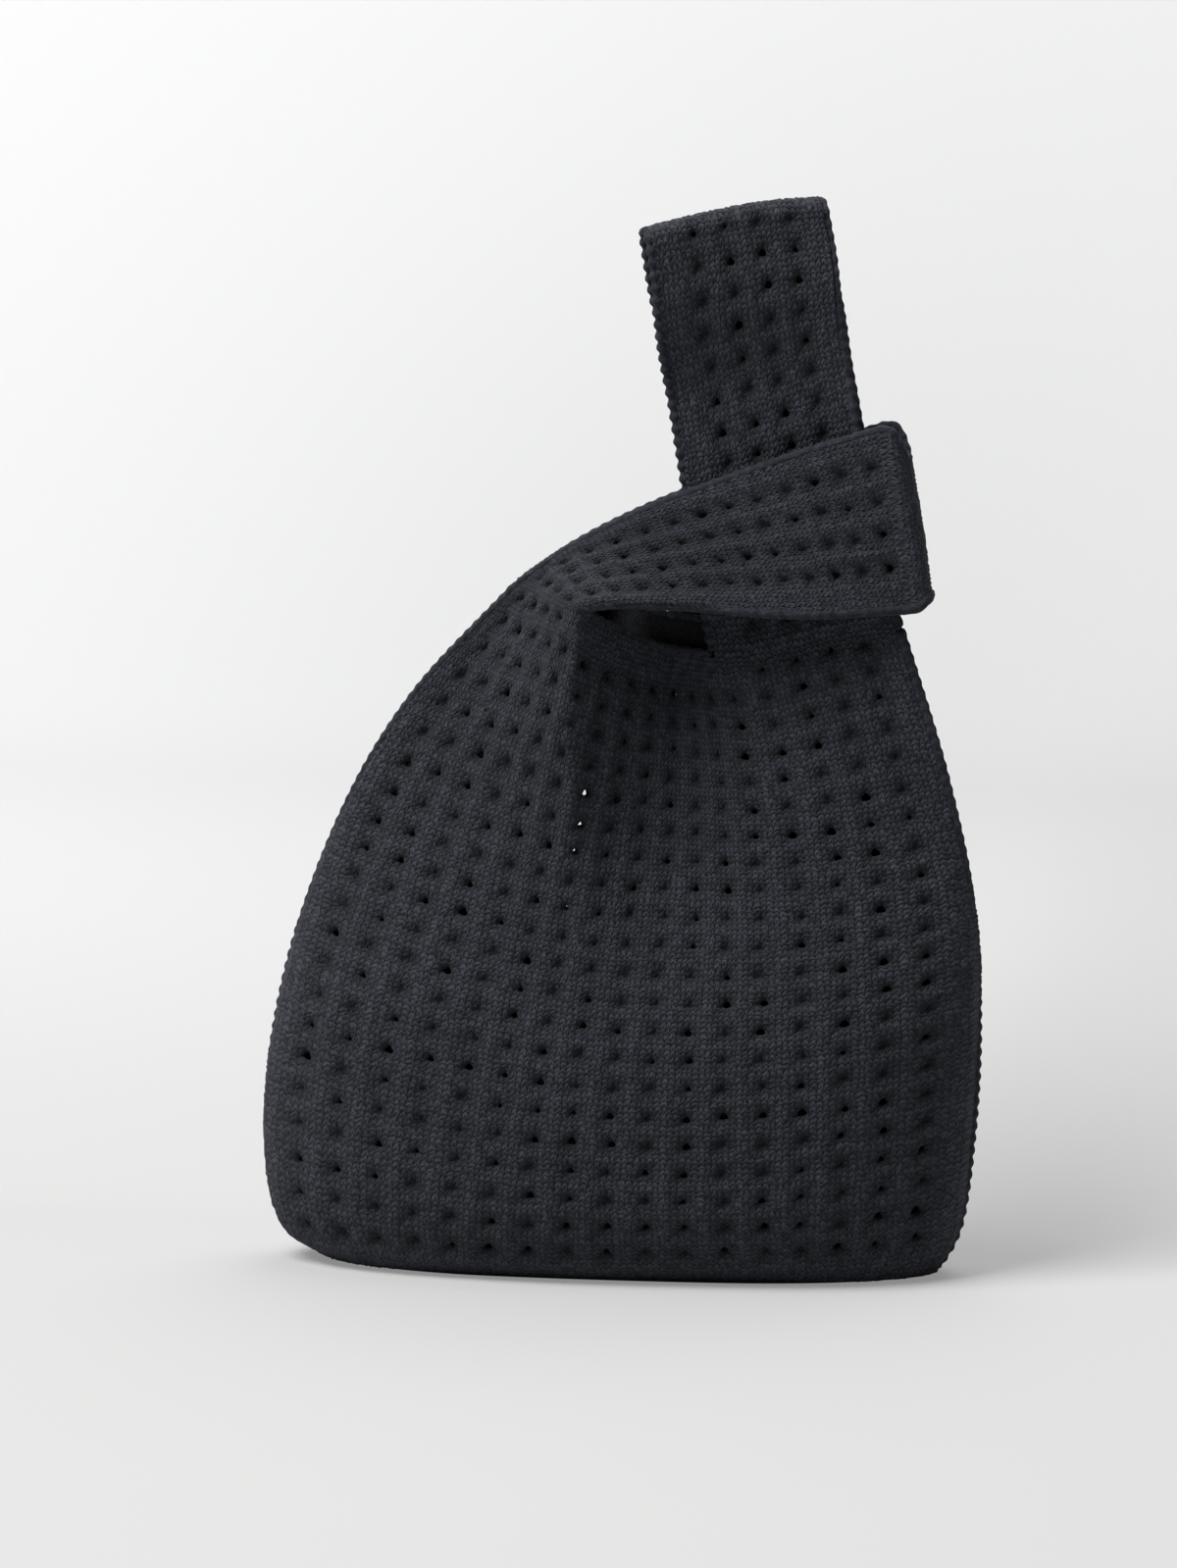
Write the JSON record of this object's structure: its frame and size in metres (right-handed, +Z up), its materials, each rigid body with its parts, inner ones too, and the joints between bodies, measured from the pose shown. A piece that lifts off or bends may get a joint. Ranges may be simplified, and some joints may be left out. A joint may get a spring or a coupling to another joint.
{
  "type": "knitted knot handbag",
  "caption": "Soft knitted wrist bag on an oval base, with a short strap loop that slides on a long strap handle and closes the mouth",
  "frame": {"origin": "middle of the base, on the floor", "axes": "+Z up, -Y to the front, +X to the right as seen from the front"},
  "size_m": [0.2336, 0.091, 0.3467],
  "materials": {
    "eyelet_knit": "matt charcoal knit with rows of eyelets",
    "plain_knit": "matt charcoal plain knit",
    "chain_yarn": "matt charcoal chain-stitched yarn"
  },
  "bodies": {
    "bag": {"base_panel": "plain_knit", "front_panel": "eyelet_knit", "back_panel": "eyelet_knit", "left_side_seam": "chain_yarn", "right_side_seam": "chain_yarn", "front_mouth_edging": "chain_yarn", "back_mouth_edging": "chain_yarn", "front_left_edging": "chain_yarn", "back_left_edging": "chain_yarn", "front_right_edging": "chain_yarn", "back_right_edging": "chain_yarn"},
    "short_loop": {"short_loop_front": "eyelet_knit", "short_loop_back": "eyelet_knit", "short_loop_end": "eyelet_knit", "short_loop_upper_edging": "chain_yarn", "short_loop_lower_edging": "chain_yarn"},
    "long_handle": {"long_handle_front": "eyelet_knit", "long_handle_back": "eyelet_knit", "long_handle_top": "eyelet_knit", "long_handle_left_edging": "chain_yarn", "long_handle_right_edging": "chain_yarn"}
  },
  "joints": [
    {"name": "handle_fold", "type": "hinge", "parent": "bag", "child": "long_handle", "pos_m": [0.04566, 0, 0.28115], "axis": [0.9448, 0, 0.3277], "range_deg": [-65, 65]},
    {"name": "loop_slide", "type": "slide", "parent": "bag", "child": "short_loop", "axis": [-0.1633, 0, 0.9866], "range_m": [0, 0.012]}
  ]
}
